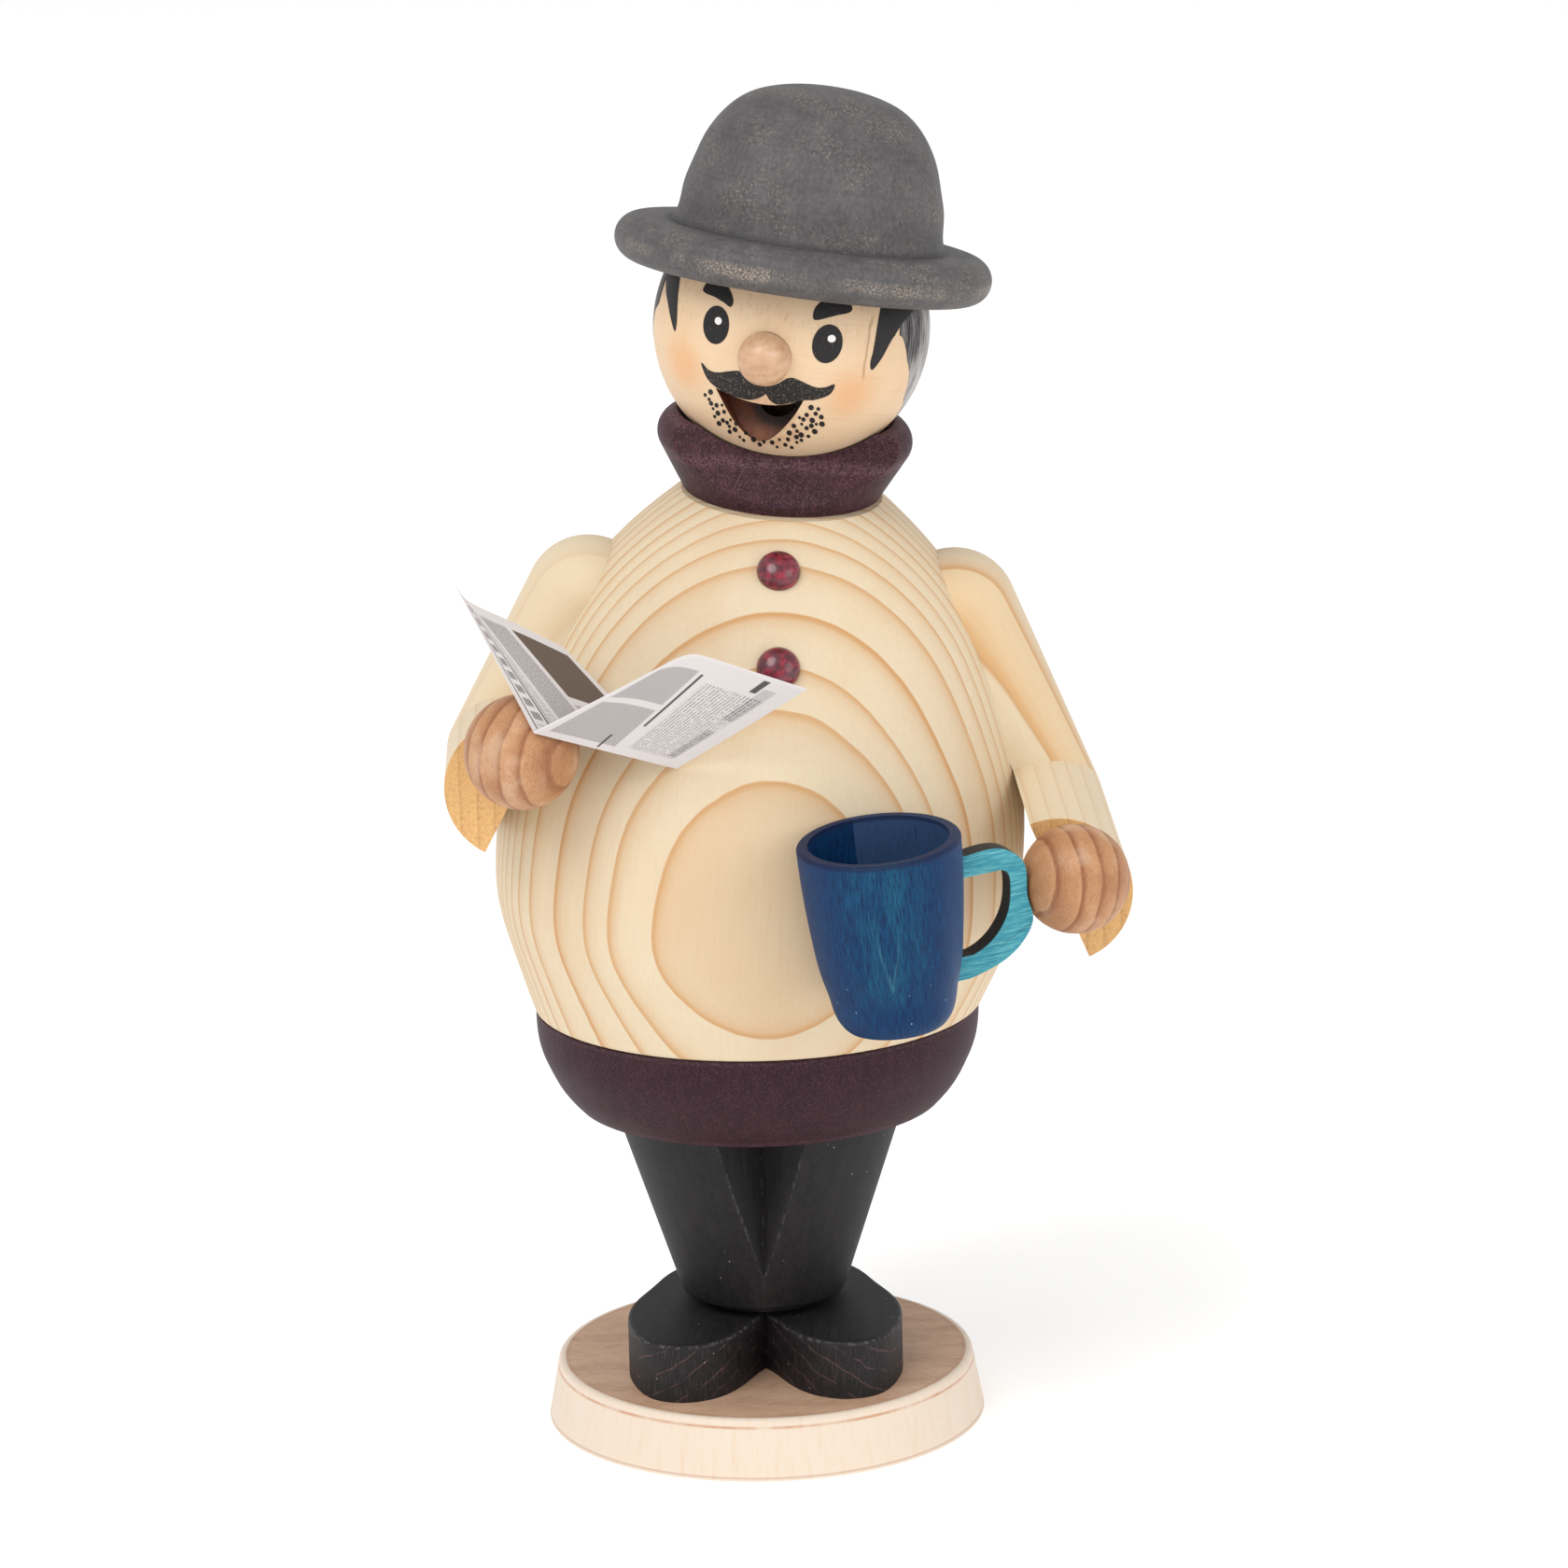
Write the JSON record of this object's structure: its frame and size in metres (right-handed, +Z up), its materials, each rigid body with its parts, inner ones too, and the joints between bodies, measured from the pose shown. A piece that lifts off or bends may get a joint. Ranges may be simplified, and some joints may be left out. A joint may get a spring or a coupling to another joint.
{
  "type": "incense smoker",
  "caption": "Turned wooden incense smoker: a moustached man in a hat with a newspaper and a mug; his upper half lifts off a tray for an incense cone.",
  "frame": {"origin": "centre of the round base's underside", "axes": "+Z up, -Y towards the figure's front, +X to its left hand, the viewer's right"},
  "size_m": [0.0907, 0.0892, 0.1828],
  "materials": {
    "natural_wood": "pale softwood, oiled, with orange growth rings",
    "base_wood": "turned hardwood with a brown stained top",
    "head_wood": "turned maple, painted eyes and moustache",
    "hand_wood": "turned beech with broad rings",
    "black_stain": "black stained hardwood, matt",
    "burgundy_stain": "burgundy stained hardwood, matt",
    "grey_stain": "grey stained hardwood, rubbed through at the edges",
    "blue_stain": "deep blue stained hardwood",
    "teal_stain": "teal stained plywood with dark sawn edges",
    "button_paint": "glossy burgundy lacquer on wood",
    "nose_wood": "light brown turned bead",
    "dowel_wood": "plain beech dowel",
    "tin": "pressed sheet metal, satin",
    "steel": "bright nail",
    "newsprint": "light grey paper with plain grey bars"
  },
  "bodies": {
    "stand": {"base_plate": "base_wood", "left_shoe": "black_stain", "right_shoe": "black_stain", "left_shoe_dowel": "dowel_wood", "right_shoe_dowel": "dowel_wood", "trousers": "black_stain", "waist_dowel": "dowel_wood", "waist_dish": "burgundy_stain", "incense_tray": "tin", "tray_nail": "steel"},
    "figure": {"torso": "natural_wood", "collar": "burgundy_stain", "neck_tube": "dowel_wood", "head": "head_wood", "nose": "nose_wood", "hat_brim": "grey_stain", "hat_crown": "grey_stain", "hat_dowel": "dowel_wood", "upper_button": "button_paint", "lower_button": "button_paint", "left_upper_arm": "natural_wood", "right_upper_arm": "natural_wood", "left_forearm": "natural_wood", "right_forearm": "natural_wood", "left_shoulder_dowel": "dowel_wood", "right_shoulder_dowel": "dowel_wood", "left_hand": "hand_wood", "right_hand": "hand_wood", "left_hand_dowel": "dowel_wood", "right_hand_dowel": "dowel_wood", "mug": "blue_stain", "mug_handle": "teal_stain", "newspaper": "newsprint"}
  },
  "joints": [
    {"name": "figure_lift", "type": "slide", "parent": "stand", "child": "figure", "axis": [0, 0, 1], "range_m": [0, 0.08]}
  ]
}
